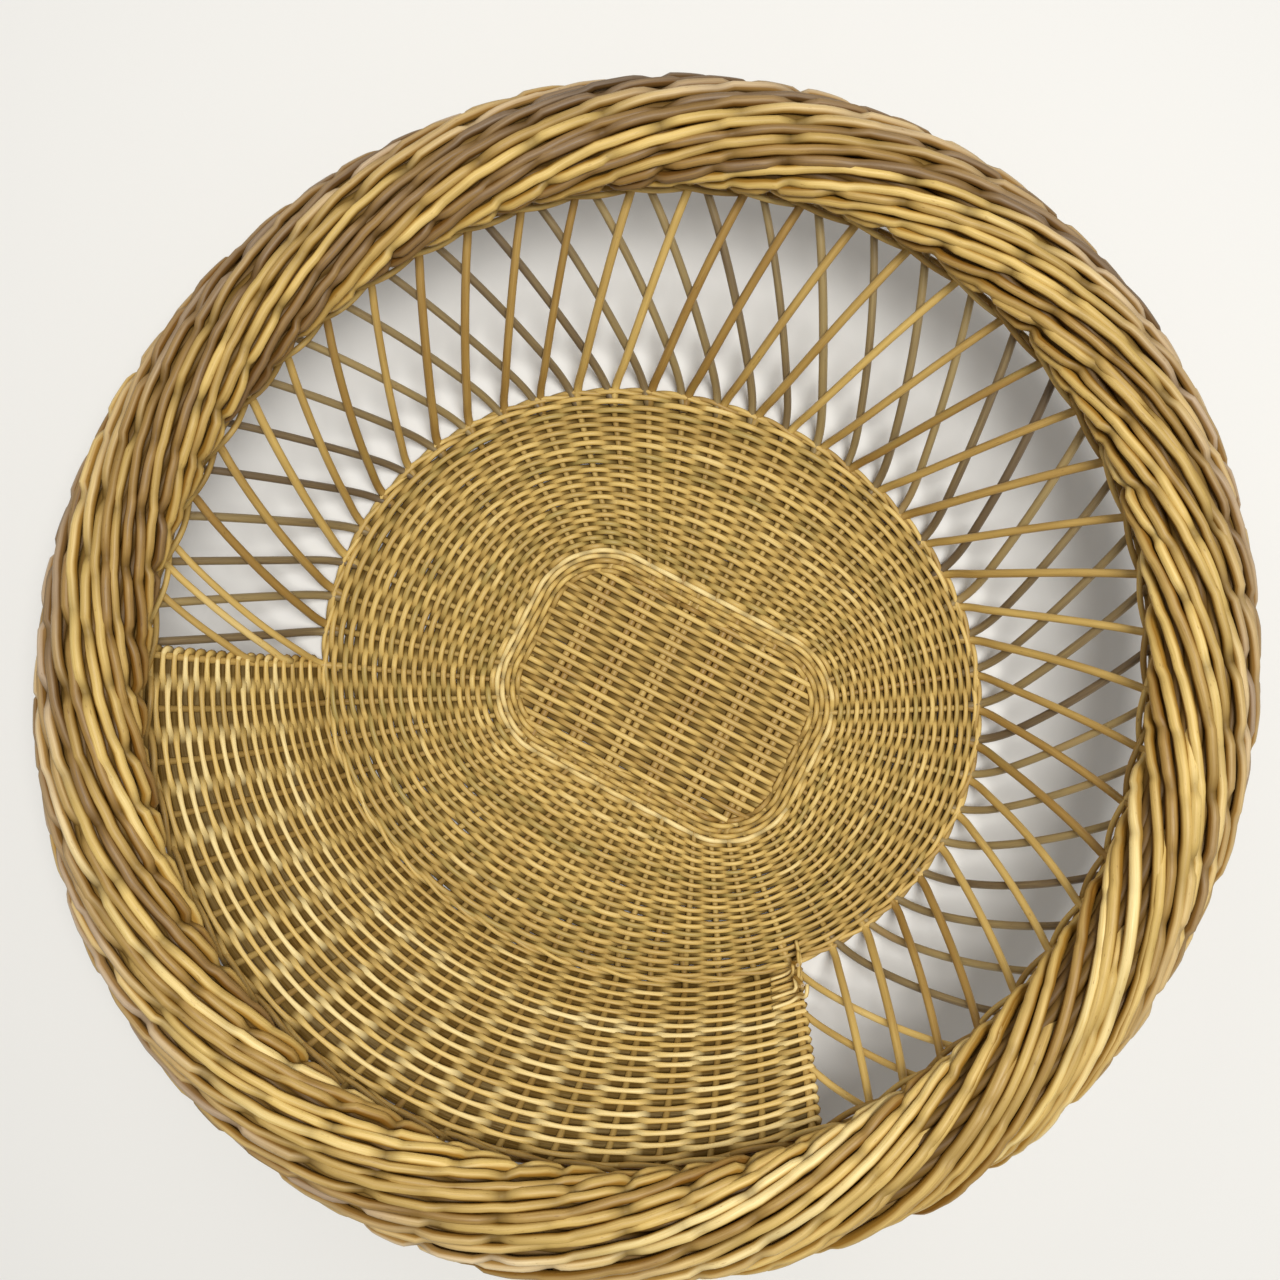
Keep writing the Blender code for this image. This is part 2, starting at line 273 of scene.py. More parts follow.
class Rods:
    """Gathers many swept rods into one mesh, with the values that the rod materials read at each vertex."""

    def __init__(self, name):
        self.name = name
        self.verts = []
        self.faces = []
        self.cut_faces = []
        self.values = []
        self.count = 0

    def add(self, points, radius, tone, seed, outward=None, sides=ROD_SIDES, closed=False, flat=1.0,
            hollow=0.0, sunk_shade=0.0, grey=0.0):
        """One rod. Radius, tone, seed, painted shade, sunk shade and grey may change along it. Flat is height
        over width.

        The painted shade darkens the rod all round. The sunk shade is how deep the rod lies in the weave,
        seen from outward, and paints shade on its outward side, or on its far side where it is negative.
        """
        points = np.asarray(points, float)
        count = len(points)
        if closed:
            tangents = unit(np.roll(points, -1, axis=0) - np.roll(points, 1, axis=0))
            steps = np.linalg.norm(points - np.roll(points, 1, axis=0), axis=1)
            steps[0] = 0.0
        else:
            tangents = unit(np.gradient(points, axis=0))
            steps = np.concatenate([[0.0], np.linalg.norm(np.diff(points, axis=0), axis=1)])
        across = carried_frame(tangents) if outward is None else unit(np.cross(tangents, outward))
        up = np.cross(across, tangents)
        along = np.cumsum(steps)
        radius = np.zeros(count) + radius
        turn = 2.0 * math.pi * np.arange(sides) / sides
        wide = np.cos(turn)[None, :, None] * across[:, None, :]
        tall = flat * np.sin(turn)[None, :, None] * up[:, None, :]
        ring = points[:, None, :] + radius[:, None, None] * (wide + tall)
        self.verts.append(ring.reshape(-1, 3))

        def spread(value):
            return (np.zeros(count) + value)[:, None]

        fibre = np.empty((count, sides, COLUMNS))
        fibre[..., ALONG] = along[:, None]
        fibre[..., SIDEWAYS] = radius[:, None] * np.cos(turn)
        fibre[..., OUTWARD] = radius[:, None] * np.sin(turn)
        fibre[..., TONE] = spread(tone)
        fibre[..., SEED] = spread(seed)
        # Painted shade: all round by the painted shade value, and by the sunk value mostly on the outward
        # side
        shaded_side = SUNK_FLANK_SHADE + (1.0 - SUNK_FLANK_SHADE) * np.sin(turn)
        buried_shade = spread(hollow) + spread(sunk_shade) * shaded_side
        fibre[..., PAINTED_SHADE] = np.clip(buried_shade, 0.0, 1.0)
        fibre[..., GREY] = spread(grey)
        self.values.append(fibre.reshape(-1, COLUMNS))
        place = self.count + np.arange(count * sides).reshape(count, sides)
        here = place if closed else place[:-1]
        there = np.roll(place, -1, axis=0) if closed else place[1:]
        quads = np.stack([here, np.roll(here, -1, axis=1), np.roll(there, -1, axis=1), there], axis=-1)
        self.faces.append(quads.reshape(-1, 4))
        self.count += count * sides
        if not closed:
            self._cap(place[0][::-1], points[0], fibre[0, 0])
            self._cap(place[-1], points[-1], fibre[-1, 0])

    def _cap(self, rim, centre, values):
        """A cut end: a fan from the rim to the rod's centre."""
        middle_values = values.copy()
        middle_values[[SIDEWAYS, OUTWARD]] = 0.0
        self.verts.append(centre[None, :])
        self.values.append(middle_values[None, :])
        fan = np.stack([rim, np.roll(rim, -1), np.full(len(rim), self.count)], axis=-1)
        self.cut_faces.append(fan)
        self.count += 1

    def build(self, materials, slot, node):
        """Makes the object, which stands for the CAD node."""
        verts = np.vstack(self.verts).astype(np.float32)
        quads = np.vstack(self.faces).astype(np.int32)
        fans = np.vstack(self.cut_faces).astype(np.int32) if self.cut_faces else np.zeros((0, 3), np.int32)
        mesh = bpy.data.meshes.new(self.name)
        mesh.vertices.add(len(verts))
        mesh.vertices.foreach_set("co", verts.ravel())
        mesh.loops.add(quads.size + fans.size)
        mesh.loops.foreach_set("vertex_index", np.concatenate([quads.ravel(), fans.ravel()]))
        mesh.polygons.add(len(quads) + len(fans))
        quad_starts = 4 * np.arange(len(quads))
        fan_starts = quads.size + 3 * np.arange(len(fans))
        starts = np.concatenate([quad_starts, fan_starts]).astype(np.int32)
        mesh.polygons.foreach_set("loop_start", starts)
        finish_index = np.concatenate([np.zeros(len(quads)), np.ones(len(fans))]).astype(np.int32)
        mesh.polygons.foreach_set("material_index", finish_index)
        mesh.polygons.foreach_set("use_smooth", finish_index == 0)
        mesh.update(calc_edges=True)
        values = np.vstack(self.values).astype(np.float32)
        fibre = mesh.attributes.new("fibre", "FLOAT_VECTOR", "POINT")
        fibre.data.foreach_set("vector", np.ascontiguousarray(values[:, ALONG:TONE]).ravel())
        for column, name in ((TONE, "tone"), (SEED, "seed"), (PAINTED_SHADE, "hollow"), (GREY, "grey")):
            layer = mesh.attributes.new(name, "FLOAT", "POINT")
            layer.data.foreach_set("value", np.ascontiguousarray(values[:, column]))
        mesh.validate()
        piece = bpy.data.objects.new(self.name, mesh)
        bpy.context.scene.collection.objects.link(piece)
        mesh.materials.append(materials[slot])
        mesh.materials.append(materials["cut_end"])
        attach(piece, "root")
        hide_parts(node)


# ---------------- materials


def ramp(tree, stops, factor):
    node = tree.nodes.new("ShaderNodeValToRGB")
    elements = node.color_ramp.elements
    while len(elements) < len(stops):
        elements.new(0.5)
    for element, (position, colour) in zip(elements, stops):
        element.position = position
        element.color = (*colour, 1.0)
    tree.links.new(factor, node.inputs["Fac"])
    return node.outputs["Color"]


def attribute(tree, name, output):
    node = tree.nodes.new("ShaderNodeAttribute")
    node.attribute_name = name
    return node.outputs[output]


def maths(tree, operation, *values, limit=False):
    node = tree.nodes.new("ShaderNodeMath")
    node.operation = operation
    node.use_clamp = limit
    for socket, value in zip(node.inputs, values):
        if isinstance(value, float):
            socket.default_value = value
        else:
            tree.links.new(value, socket)
    return node.outputs["Value"]


SEED_SPREAD = 61.7


def vector_maths(tree, operation, vector, factors=(1.0, 1.0, 1.0)):
    node = tree.nodes.new("ShaderNodeVectorMath")
    node.operation = operation
    node.inputs[1].default_value = factors
    tree.links.new(vector, node.inputs[0])
    return node


def rod_noise(tree, fibre, seed, scale, detail, roughness=0.5):
    """Noise in the rod's own space, so that it runs along the grain. Scale is (along, across), per metre."""
    along, across = scale
    stretch = vector_maths(tree, "MULTIPLY", fibre, (along, across, across))
    node = tree.nodes.new("ShaderNodeTexNoise")
    node.noise_dimensions = "4D"
    node.inputs["Scale"].default_value = 1.0
    node.inputs["Detail"].default_value = detail
    node.inputs["Roughness"].default_value = roughness
    tree.links.new(stretch.outputs["Vector"], node.inputs["Vector"])
    tree.links.new(maths(tree, "MULTIPLY", seed, SEED_SPREAD), node.inputs["W"])
    return node.outputs["Fac"]


def blend(tree, kind, factor, first, second):
    node = tree.nodes.new("ShaderNodeMix")
    node.data_type = "RGBA"
    node.blend_type = kind
    for socket, value in ((node.inputs[0], factor), (node.inputs[6], first), (node.inputs[7], second)):
        if isinstance(value, float):
            socket.default_value = value
        elif isinstance(value, tuple):
            socket.default_value = (*value, 1.0)
        else:
            tree.links.new(value, socket)
    return node.outputs[2]


def new_material(name):
    made = bpy.data.materials.new(name)
    made.use_nodes = True
    tree = made.node_tree
    return made, tree, tree.nodes["Principled BSDF"]


BLACK = (0.0, 0.0, 0.0)
MID_GREY = (0.5, 0.5, 0.5)
WHITE = (1.0, 1.0, 1.0)
# Dark brown that the painted shade mixes a rod's colour towards
PAINTED_SHADE_COLOUR = (0.075, 0.036, 0.004)
# Brown tint of the painted shade on rod flanks
FLANK_SHADE_TINT = (0.44, 0.29, 0.06)
FLECK_TINT = (0.35, 0.22, 0.12)
WEATHERED = ((0.0, (0.150, 0.105, 0.068)), (0.5, (0.380, 0.272, 0.175)), (1.0, (0.720, 0.560, 0.380)))
DRIFT_SCALE = (14.0, 90.0)
FIBRE_SCALE = (45.0, 1500.0)
FLECK_SCALE = (260.0, 900.0)
FIBRE_ROUGHNESS = 0.6
DRIFT_TONE = 0.55
FLANK_RAMP = ((0.20, WHITE), (0.80, BLACK))
FLECK_RAMP = ((0.66, BLACK), (0.74, WHITE))
FLECK_STRENGTH = 0.45
# The painted shade is broken into streaks along the grain, between these shares
SHADE_STREAKS = 0.5
SHADE_LEAST = 0.65
DRIFT_GLOSS = 0.30
FIBRE_GLOSS = 0.16
SPECULAR = 0.45
COAT = 0.12
COAT_ROUGHNESS = 0.35
BUMP_STRENGTH = 0.55
FLECK_BUMP = 0.5


def crosswise(tree, fibre):
    """A vertex's place in the rod's cross-section, with its place along the rod left out."""
    return vector_maths(tree, "MULTIPLY", fibre, (0.0, 1.0, 1.0)).outputs["Vector"]


def facing_out(tree, fibre):
    """1 along the side of a rod that faces outward, falling to 0 at its flanks."""
    direction = vector_maths(tree, "NORMALIZE", crosswise(tree, fibre))
    parts = tree.nodes.new("ShaderNodeSeparateXYZ")
    tree.links.new(direction.outputs["Vector"], parts.inputs[0])
    return parts.outputs["Z"]


def rod_colour(tree, stops, streaks, flank_shading, fibre, drift, fibres, flecks):
    """The wood's colour, with painted shade in the hollows and on the rod flanks. Also returns how much the
    painted shade darkens it, which takes its shine away.
    """
    shifted = maths(tree, "MULTIPLY_ADD", drift, DRIFT_TONE, -0.5 * DRIFT_TONE)
    toned = maths(tree, "ADD", attribute(tree, "tone", "Fac"), shifted)
    grained = maths(tree, "MULTIPLY_ADD", fibres, streaks, -0.5 * streaks)
    mixed = maths(tree, "ADD", toned, grained, limit=True)
    colour = ramp(tree, stops, mixed)
    colour = blend(tree, "MIX", attribute(tree, "grey", "Fac"), colour, ramp(tree, WEATHERED, mixed))
    # Painted shade: each rod's flanks and underside, away from its outward side, are darkened towards a brown
    # tint
    shaded = maths(tree, "MULTIPLY", ramp(tree, FLANK_RAMP, facing_out(tree, fibre)), flank_shading)
    colour = blend(tree, "MULTIPLY", shaded, colour, FLANK_SHADE_TINT)
    flecked = maths(tree, "MULTIPLY", ramp(tree, FLECK_RAMP, flecks), FLECK_STRENGTH)
    colour = blend(tree, "MULTIPLY", flecked, colour, FLECK_TINT)
    # Painted shade: the vertices' painted shade value, streaked along the grain, mixes the colour towards
    # dark brown
    shade_streaks = maths(tree, "MULTIPLY_ADD", fibres, SHADE_STREAKS, SHADE_LEAST)
    shade_amount = maths(tree, "MULTIPLY", attribute(tree, "hollow", "Fac"), shade_streaks, limit=True)
    colour = blend(tree, "MIX", shade_amount, colour, PAINTED_SHADE_COLOUR)
    return colour, maths(tree, "MAXIMUM", shade_amount, shaded)


def rod_material(name, stops, gloss, streaks, bump, flank_shading):
    """Peeled willow or cane: fibres along the rod, colour drift, dark flecks, and painted shade in the
    hollows and on the rod flanks.
    """
    made, tree, shader = new_material(name)
    fibre = attribute(tree, "fibre", "Vector")
    seed = attribute(tree, "seed", "Fac")
    drift = rod_noise(tree, fibre, seed, DRIFT_SCALE, 2.0)
    fibres = rod_noise(tree, fibre, seed, FIBRE_SCALE, 4.0, FIBRE_ROUGHNESS)
    flecks = rod_noise(tree, fibre, seed, FLECK_SCALE, 2.0)
    colour, shade_darkening = rod_colour(tree, stops, streaks, flank_shading, fibre, drift, fibres, flecks)
    tree.links.new(colour, shader.inputs["Base Color"])
    rough = maths(tree, "MULTIPLY_ADD", drift, DRIFT_GLOSS, gloss - 0.5 * DRIFT_GLOSS)
    rough = maths(tree, "ADD", rough, maths(tree, "MULTIPLY", fibres, FIBRE_GLOSS), limit=True)
    tree.links.new(rough, shader.inputs["Roughness"])
    # Painted shade takes away the specular and coat shine
    unshaded = maths(tree, "SUBTRACT", 1.0, shade_darkening, limit=True)
    tree.links.new(maths(tree, "MULTIPLY", unshaded, SPECULAR), shader.inputs["Specular IOR Level"])
    tree.links.new(maths(tree, "MULTIPLY", unshaded, COAT), shader.inputs["Coat Weight"])
    shader.inputs["Coat Roughness"].default_value = COAT_ROUGHNESS
    relief = tree.nodes.new("ShaderNodeBump")
    relief.inputs["Strength"].default_value = BUMP_STRENGTH
    relief.inputs["Distance"].default_value = bump
    height = maths(tree, "ADD", fibres, maths(tree, "MULTIPLY", flecks, FLECK_BUMP))
    tree.links.new(height, relief.inputs["Height"])
    tree.links.new(relief.outputs["Normal"], shader.inputs["Normal"])
    return made


CUT_END_STOPS = (
    (0.0, (0.16, 0.09, 0.04)),
    (0.22, (0.52, 0.38, 0.20)),
    (0.80, (0.62, 0.47, 0.26)),
    (1.0, (0.30, 0.18, 0.08)),
)
CUT_END_WIDENING = 380.0
CUT_END_GRAIN = 900.0
GRAIN_RAMP = ((0.3, MID_GREY), (0.7, WHITE))
CUT_END_GRAIN_SHARE = 0.5
CUT_END_ROUGHNESS = 0.8


def cut_end_material():
    """The pale wood of a cut end, with a darker pith and rim."""
    made, tree, shader = new_material("cut rod ends")
    size = vector_maths(tree, "LENGTH", crosswise(tree, attribute(tree, "fibre", "Vector")))
    outward = maths(tree, "MULTIPLY", size.outputs["Value"], CUT_END_WIDENING, limit=True)
    grain = tree.nodes.new("ShaderNodeTexNoise")
    grain.inputs["Scale"].default_value = CUT_END_GRAIN
    grained = ramp(tree, GRAIN_RAMP, grain.outputs["Fac"])
    colour = blend(tree, "MULTIPLY", CUT_END_GRAIN_SHARE, ramp(tree, CUT_END_STOPS, outward), grained)
    tree.links.new(colour, shader.inputs["Base Color"])
    shader.inputs["Roughness"].default_value = CUT_END_ROUGHNESS
    return made


MAUVE = (0.205, 0.122, 0.052)
GREY_BROWN = (0.150, 0.104, 0.048)
BROWN = (0.340, 0.195, 0.045)
TAN = (0.520, 0.345, 0.098)
HONEY = (0.700, 0.490, 0.150)
CREAM = (0.900, 0.730, 0.350)
OLIVE = (0.400, 0.300, 0.085)


def make_materials():
    full = ((0.0, MAUVE), (0.22, BROWN), (0.48, TAN), (0.72, HONEY), (1.0, CREAM))
    thin = ((0.0, GREY_BROWN), (0.25, OLIVE), (0.50, TAN), (0.78, HONEY), (1.0, CREAM))
    dull = ((0.0, GREY_BROWN), (0.30, OLIVE), (0.55, BROWN), (0.78, TAN), (1.0, HONEY))
    # The last value of each rod material is the strength of the painted shade on the rod flanks
    woven = {"gloss": 0.50, "streaks": 0.40, "bump": 0.00015, "flank_shading": 0.75}
    return {
        "border": rod_material("border rods", full, gloss=0.47, streaks=0.55, bump=0.00030, flank_shading=0.85),
        "lattice": rod_material("lattice rods", dull, gloss=0.46, streaks=0.40, bump=0.00025, flank_shading=0.0),
        "stakes": rod_material("stake rods", full, gloss=0.50, streaks=0.40, bump=0.00025, flank_shading=0.0),
        "wale": rod_material("wale rods", full, gloss=0.48, streaks=0.40, bump=0.00020, flank_shading=0.50),
        "base_weave": rod_material("floor weavers", thin, **woven),
        "panel_weave": rod_material("panel weavers", thin, **woven),
        "centre_mat": rod_material("mat rods", full, **woven),
        "cut_end": cut_end_material(),
    }


# ---------------- floor

FLOOR_STEPS = 6
FLOOR_ROUNDS = 35
FLOOR_WAVE = 0.0028
FLOOR_WEAVER_SHARE = 0.76
FLOOR_NARROWING = 0.22
FLOOR_WEAVER_LEAST = 0.0017
FLOOR_WEAVER_MOST = 0.0029
FLOOR_THICKNESS = (0.93, 1.06)
FLOOR_FLAT = 0.72
FLOOR_TONES = (0.34, 0.80)
FLOOR_LENGTHS = 5
# Painted shade on the floor's stakes and weavers all round, and on a weaver's upper side where it dips under
# a stake
FLOOR_SHADE = 0.20
FLOOR_SUNK_SHADE = 0.85
FIRST_ROUND = 0.55
ROUND_DRIFT = 0.35
ROUND_WAVES = (2, 3, 5, 11)
LIFT_DRIFT = 0.08
LIFT_WAVES = (7, 13)
WEAVE_SHARPNESS = 1.4
FLOOR_STAKE_SPAN = (-0.16, 0.90)
FLOOR_STAKE_POINTS = 10
FLOOR_STAKE_TAPER = (0.36, 0.5)
FLOOR_STAKE_TONES = (0.35, 0.65)
FLOOR_STAKE_SIDES = 6
LEAST_WAVE = 0.3


def floor_point(angle, share, height):
    """Share is 0 at the mat's outline and 1 at the floor's edge."""
    inner = mat_outline(0.0, angle / 360.0)
    outer = base_point(angle, base_edge(angle), 0.0)
    share = np.asarray(share)[..., None] if np.ndim(share) else share
    place = inner + (outer - inner) * share
    place[..., 2] = height
    return place


def arc_values(draw, count, pieces, low, high):
    """Values that hold for a stretch and then change, as where one weaver ends and the next begins."""
    cuts = np.sort(draw.randint(0, count, pieces - 1))
    levels = draw.uniform(low, high, pieces)
    return levels[np.searchsorted(cuts, np.arange(count))]


def wavy(draw, angle, waves, size):
    """A slow seamless wobble round the basket."""
    total = np.zeros_like(angle)
    for wave in waves:
        height = size * draw.uniform(LEAST_WAVE, 1.0)
        total += height * np.cos(wave * np.radians(angle) + draw.uniform(*ANY_PHASE))
    return total / len(waves)


def squared(turn, sharpness):
    """A cosine with flatter tops: a weaver lies to one side of a stake, then crosses quickly to the other."""
    return np.tanh(sharpness * np.cos(turn)) / math.tanh(sharpness)


def build_floor(materials):
    draw = np.random.RandomState(11)
    stakes = Rods("floor_stakes")
    share = np.linspace(*FLOOR_STAKE_SPAN, FLOOR_STAKE_POINTS)
    radius = np.linspace(*FLOOR_STAKE_TAPER, FLOOR_STAKE_POINTS) * STAKE
    for index in range(STAKE_PLACES):
        path = floor_point(np.full(FLOOR_STAKE_POINTS, foot_angle(index)), share, BASE_MIDDLE)
        tone = draw.uniform(*FLOOR_STAKE_TONES)
        # Painted shade all round the floor stake
        stakes.add(path, radius, tone, draw.rand(), sides=FLOOR_STAKE_SIDES, hollow=FLOOR_SHADE)
    stakes.build(materials, "stakes", "base_weave")

    rounds = Rods("floor_weavers")
    count = STAKE_PLACES * FLOOR_STEPS
    step = np.arange(count) / FLOOR_STEPS
    angle = foot_angle(step)
    reach = np.linalg.norm(floor_point(angle, 1.0, 0.0) - floor_point(angle, 0.0, 0.0), axis=1)
    thickness = np.clip(FLOOR_WEAVER_SHARE * reach / FLOOR_ROUNDS, FLOOR_WEAVER_LEAST, FLOOR_WEAVER_MOST)
    for index in range(FLOOR_ROUNDS):
        share = (index + FIRST_ROUND + wavy(draw, angle, ROUND_WAVES, ROUND_DRIFT)) / FLOOR_ROUNDS
        wave = squared(math.pi * (step + index), WEAVE_SHARPNESS)
        lift = FLOOR_WAVE * wave * (1.0 + wavy(draw, angle, LIFT_WAVES, LIFT_DRIFT))
        path = floor_point(angle, share, BASE_MIDDLE + lift)
        tone = arc_values(draw, count, FLOOR_LENGTHS, *FLOOR_TONES)
        seed = arc_values(draw, count, FLOOR_LENGTHS, 0.0, 1.0)
        narrowing = 1.0 - FLOOR_NARROWING * (0.5 + 0.5 * wave)
        radius = thickness * draw.uniform(*FLOOR_THICKNESS) * narrowing
        # Painted shade all round, and on the upper side where the weaver dips
        rounds.add(path, radius, tone, seed, outward=UP, closed=True, flat=FLOOR_FLAT, hollow=FLOOR_SHADE,
                   sunk_shade=-FLOOR_SUNK_SHADE * wave)
    rounds.build(materials, "base_weave", "base_weave")


# ---------------- centre mat

MAT_STICKS = 6
MAT_STICK_PITCH = 0.0295
MAT_STICK_ROD = 0.0054
MAT_STICK_SPACING = 1.04
MAT_STICK_FIRST = -0.0700
MAT_STICK_INSET = 0.004
MAT_STICK_POINTS = 24
MAT_STICK_BEND = 0.0004
MAT_STICK_WAVE = 60.0
MAT_STICK_TONES = (0.3, 0.6)
# Painted shade all round the sticks, which lie under the rows
MAT_STICK_SHADE = 0.10
MAT_ROW_PITCH = 0.00356
MAT_ROW_RADIUS = 0.00210
MAT_ROW_THICKNESS = (0.93, 1.05)
MAT_ROW_FLAT = 0.82
MAT_ROW_POINTS = 72
MAT_ROW_OVERLAP = 0.006
MAT_ROW_END = 0.012
MAT_ROW_BEND = 0.00025
MAT_ROW_WAVES = (25.0, 60.0)
MAT_ROW_TONES = (0.42, 0.72)
# Painted shade on the rows all round, and on their upper side where they dip under the sticks
MAT_ROW_SHADE = 0.20
MAT_ROW_SUNK_SHADE = 0.75
MAT_WAVE = 0.0031
MAT_SHARPNESS = 1.9
PAIRING_BAND = 0.0175
PAIRING_ROUNDS = 5
PAIRING_FIRST = 0.45
PAIRING_STEPS = 8
PAIRING_RADIUS = 0.0019
PAIRING_RISE = 0.0018
PAIRING_WAVE = 0.0021
PAIRING_LENGTHS = 7
PAIRING_TONES = (0.62, 0.98)
PAIRING_FADE = 0.09
# Painted shade on the pairing rounds, more on the inner ones, and where a round dips
PAIRING_SHADE = 0.05
PAIRING_SUNK_SHADE = 0.50


def mat_half_span(inset, offset, half_long, half_short):
    """Half length of a line across the mat's outline, at a distance from its middle line."""
    corner = max(MAT_CORNER - inset, LEAST_CORNER)
    straight = half_short - inset - corner
    over = max(0.0, abs(offset) - straight)
    if over >= corner:
        return 0.0
    return half_long - inset - corner + math.sqrt(corner * corner - over * over)


def mat_point(x, y, lift):
    return np.stack([MAT_MIDDLE.x + x, MAT_MIDDLE.y + y, BASE_MIDDLE + lift + np.zeros_like(x)], axis=-1)


def build_mat(materials):
    draw = np.random.RandomState(12)
    build_mat_sticks(materials, draw)
    build_mat_rows(materials, draw)
    build_mat_pairing(materials, draw)


def build_mat_sticks(materials, draw):
    """The pairs of stout sticks that the mat's rows are woven over."""
    sticks = Rods("mat_sticks")
    for index in range(MAT_STICKS):
        for side in (-0.5, 0.5):
            x = MAT_STICK_FIRST + index * MAT_STICK_PITCH + side * MAT_STICK_SPACING * MAT_STICK_ROD
            reach = mat_half_span(MAT_STICK_INSET, x, MAT_HALF_WIDTH, MAT_HALF_LENGTH)
            y = np.linspace(-reach, reach, MAT_STICK_POINTS)
            path = mat_point(np.full(MAT_STICK_POINTS, x), y, 0.0)
            path[:, 0] += MAT_STICK_BEND * np.sin(y * MAT_STICK_WAVE + draw.uniform(*ANY_PHASE))
            tone = draw.uniform(*MAT_STICK_TONES)
            # Painted shade all round the stick
            sticks.add(path, 0.5 * MAT_STICK_ROD, tone, draw.rand(), hollow=MAT_STICK_SHADE)
    sticks.build(materials, "centre_mat", "base_centre_mat")


def build_mat_rows(materials, draw):
    """The close rows across the sticks, each over one pair and under the next."""
    rows = Rods("mat_weavers")
    reach_y = MAT_HALF_WIDTH - PAIRING_BAND
    count = int(2.0 * reach_y / MAT_ROW_PITCH) + 2
    for index in range(count):
        y = (index - 0.5 * (count - 1)) * MAT_ROW_PITCH
        reach = mat_half_span(PAIRING_BAND - MAT_ROW_OVERLAP, y, MAT_HALF_LENGTH, MAT_HALF_WIDTH)
        x = np.linspace(-reach, reach, MAT_ROW_POINTS)
        wave = squared(math.pi * ((x - MAT_STICK_FIRST) / MAT_STICK_PITCH + index), MAT_SHARPNESS)
        ends = np.clip((reach - np.abs(x)) / MAT_ROW_END, 0.0, 1.0)
        bend = MAT_ROW_BEND * np.sin(x * draw.uniform(*MAT_ROW_WAVES) + draw.uniform(*ANY_PHASE))
        path = mat_point(x, y + bend, MAT_WAVE * wave * ends)
        tone = draw.uniform(*MAT_ROW_TONES)
        radius = MAT_ROW_RADIUS * draw.uniform(*MAT_ROW_THICKNESS)
        # Painted shade all round, and on the upper side where the row dips
        rows.add(path, radius, tone, draw.rand(), outward=UP, flat=MAT_ROW_FLAT, hollow=MAT_ROW_SHADE,
                 sunk_shade=-MAT_ROW_SUNK_SHADE * wave)
    rows.build(materials, "centre_mat", "base_centre_mat")


def build_mat_pairing(materials, draw):
    """The rounds that bind the mat's edge, darker towards its middle."""
    pairing = Rods("mat_pairing")
    count = STAKE_PLACES * PAIRING_STEPS
    step = np.arange(count) / PAIRING_STEPS
    for index in range(PAIRING_ROUNDS):
        inset = (index + PAIRING_FIRST) * PAIRING_BAND / PAIRING_ROUNDS
        wave = np.sin(math.pi * (step + index))
        path = mat_outline(inset, step / STAKE_PLACES)
        path[:, 2] = BASE_MIDDLE + PAIRING_RISE + PAIRING_WAVE * wave
        tone = arc_values(draw, count, PAIRING_LENGTHS, *PAIRING_TONES) - PAIRING_FADE * index
        # Painted shade, more on the inner rounds, and on the upper side where a round dips
        pairing.add(path, PAIRING_RADIUS, tone, draw.rand(), outward=UP, closed=True,
                    hollow=PAIRING_SHADE * index, sunk_shade=-PAIRING_SUNK_SHADE * wave)
    pairing.build(materials, "centre_mat", "base_centre_mat")


# ---------------- wales

ROPE_STEPS = 10
ROPE_SIDES = 7
ROPE_STRANDS = 2
ROPE_PERIOD = 2
ROPE_LENGTHS = 6
ROPE_THICKNESS = (0.95, 1.06)
# Painted shade on a strand: least, swing and most; darkest where it passes behind the other strand
ROPE_SHADE = (0.15, 0.5, 0.7)
FOOT_WALE_RISE = 0.0012
FOOT_WALE_INSET = 0.0012
FOOT_WALE_ROPE = {"wide": 0.0016, "tall": 0.0013, "radius": 0.0017, "tones": (0.36, 0.72)}
TOP_WALE_PLACES = (0.985, 1.03)
TOP_WALE_ROPE = {"wide": 0.0058, "tall": 0.0012, "radius": 0.0019, "tones": (0.30, 0.75)}


def rope_ring(rods, draw, centre_of, wide, tall, radius, tones, lead=0.0):
    """Strands twisted in a ring. centre_of gives the ring's points and the two directions across it."""
    count = STAKE_PLACES * ROPE_STEPS
    step = np.arange(count) / ROPE_STEPS
    centre, first, second = centre_of(PANEL_START_ANGLE + step * PITCH)
    least, swing, most = ROPE_SHADE
    for strand in range(ROPE_STRANDS):
        turn = 2.0 * math.pi * (step / ROPE_PERIOD + strand / ROPE_STRANDS + lead)
        path = centre + first * (wide * np.cos(turn))[:, None] + second * (tall * np.sin(turn))[:, None]
        tone = arc_values(draw, count, ROPE_LENGTHS, *tones)
        # Painted shade where the strand passes behind the other
        rods.add(path, radius * draw.uniform(*ROPE_THICKNESS), tone, draw.rand(), sides=ROPE_SIDES,
                 closed=True, outward=first, hollow=np.clip(least - swing * np.cos(turn), 0.0, most))


def build_foot_wale(materials):
    draw = np.random.RandomState(13)
    height = BASE_MIDDLE + FOOT_WALE_RISE
    rods = Rods("foot_wale_rods")

    def centre_of(angle):
        up = np.zeros((len(angle), 3)) + UP
        return base_point(angle, base_edge(angle) - FOOT_WALE_INSET, height), up, around(angle, 1.0, 0.0)

    rope_ring(rods, draw, centre_of, **FOOT_WALE_ROPE)
    rods.build(materials, "wale", "foot_wale")


def build_top_wale(materials):
    draw = np.random.RandomState(14)
    rods = Rods("top_wale_rods")
    for index, place in enumerate(TOP_WALE_PLACES):

        def centre_of(angle):
            inward = -wall_outward(angle, place)
            _, _, out, rise = wall_frame(angle, place)
            return wall_point(angle, place), inward, around(angle, out, rise)

        rope_ring(rods, draw, centre_of, **TOP_WALE_ROPE, lead=0.5 * index)
    rods.build(materials, "wale", "top_wale")


# ---------------- lattice

